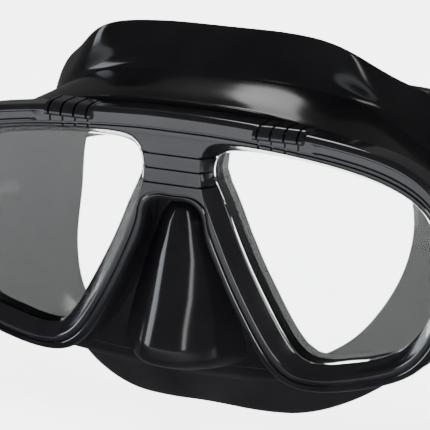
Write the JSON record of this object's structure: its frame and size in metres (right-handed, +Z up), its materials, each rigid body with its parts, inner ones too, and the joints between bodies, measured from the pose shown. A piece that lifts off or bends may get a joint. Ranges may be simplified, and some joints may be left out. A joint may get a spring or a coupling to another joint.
{
  "type": "diving mask",
  "caption": "Twin-lens low-volume diving mask: rigid frame, silicone skirt with nose pocket, swivelling buckles and adjustable strap.",
  "frame": {"origin": "middle of the mask on its symmetry plane, half-way between the nose pocket's front and the strap's back, at the skirt's lowest point", "axes": "+X towards the wearer's left, +Y backwards from the lenses to the head, +Z up"},
  "size_m": [0.1902, 0.1166, 0.1072],
  "materials": {
    "frame_plastic": "polished moulded polycarbonate",
    "skirt_silicone": "polished black silicone",
    "strap_silicone": "satin black silicone",
    "lens_glass": "clear tempered glass",
    "retainer_plastic": "polished moulded plastic",
    "buckle_plastic": "polished moulded acetal",
    "steel": "stainless steel",
    "nylon": "natural grey nylon"
  },
  "bodies": {
    "mask": {"frame": "frame_plastic", "skirt": "skirt_silicone", "lens_left": "lens_glass", "lens_retainer_left": "retainer_plastic", "pivot_screw_left": "steel", "swivel_washer_left": "nylon", "lens_right": "lens_glass", "lens_retainer_right": "retainer_plastic", "pivot_screw_right": "steel", "swivel_washer_right": "nylon"},
    "strap_assembly": {"strap": "strap_silicone", "buckle_body_left": "buckle_plastic", "roller_pin_left": "steel", "lever_pin_left": "steel", "release_spring_left": "steel", "strap_keeper_left": "strap_silicone", "buckle_body_right": "buckle_plastic", "roller_pin_right": "steel", "lever_pin_right": "steel", "release_spring_right": "steel", "strap_keeper_right": "strap_silicone"},
    "roller_left": {"strap_roller_left": "nylon"},
    "lever_left": {"release_lever_left": "buckle_plastic"},
    "roller_right": {"strap_roller_right": "nylon"},
    "lever_right": {"release_lever_right": "buckle_plastic"}
  },
  "joints": [
    {"name": "strap_swing", "type": "hinge", "parent": "mask", "child": "strap_assembly", "pos_m": [0, -0.0327, 0.05622], "axis": [1, 0, 0], "range_deg": [-55, 75]},
    {"name": "roller_spin_left", "type": "hinge", "parent": "strap_assembly", "child": "roller_left", "pos_m": [0.0843, -0.0087, 0.05622], "axis": [0, 0, 1], "continuous": true},
    {"name": "lever_release_left", "type": "hinge", "parent": "strap_assembly", "child": "lever_left", "pos_m": [0.092, -0.0097, 0.05622], "axis": [0, 0, -1], "range_deg": [0, 22], "stiffness_Nm_per_rad": 0.03, "springref_deg": -11.46},
    {"name": "roller_spin_right", "type": "hinge", "parent": "strap_assembly", "child": "roller_right", "pos_m": [-0.0843, -0.0087, 0.05622], "axis": [0, 0, 1], "continuous": true},
    {"name": "lever_release_right", "type": "hinge", "parent": "strap_assembly", "child": "lever_right", "pos_m": [-0.092, -0.0097, 0.05622], "axis": [0, 0, 1], "range_deg": [0, 22], "stiffness_Nm_per_rad": 0.03, "springref_deg": -11.46}
  ]
}
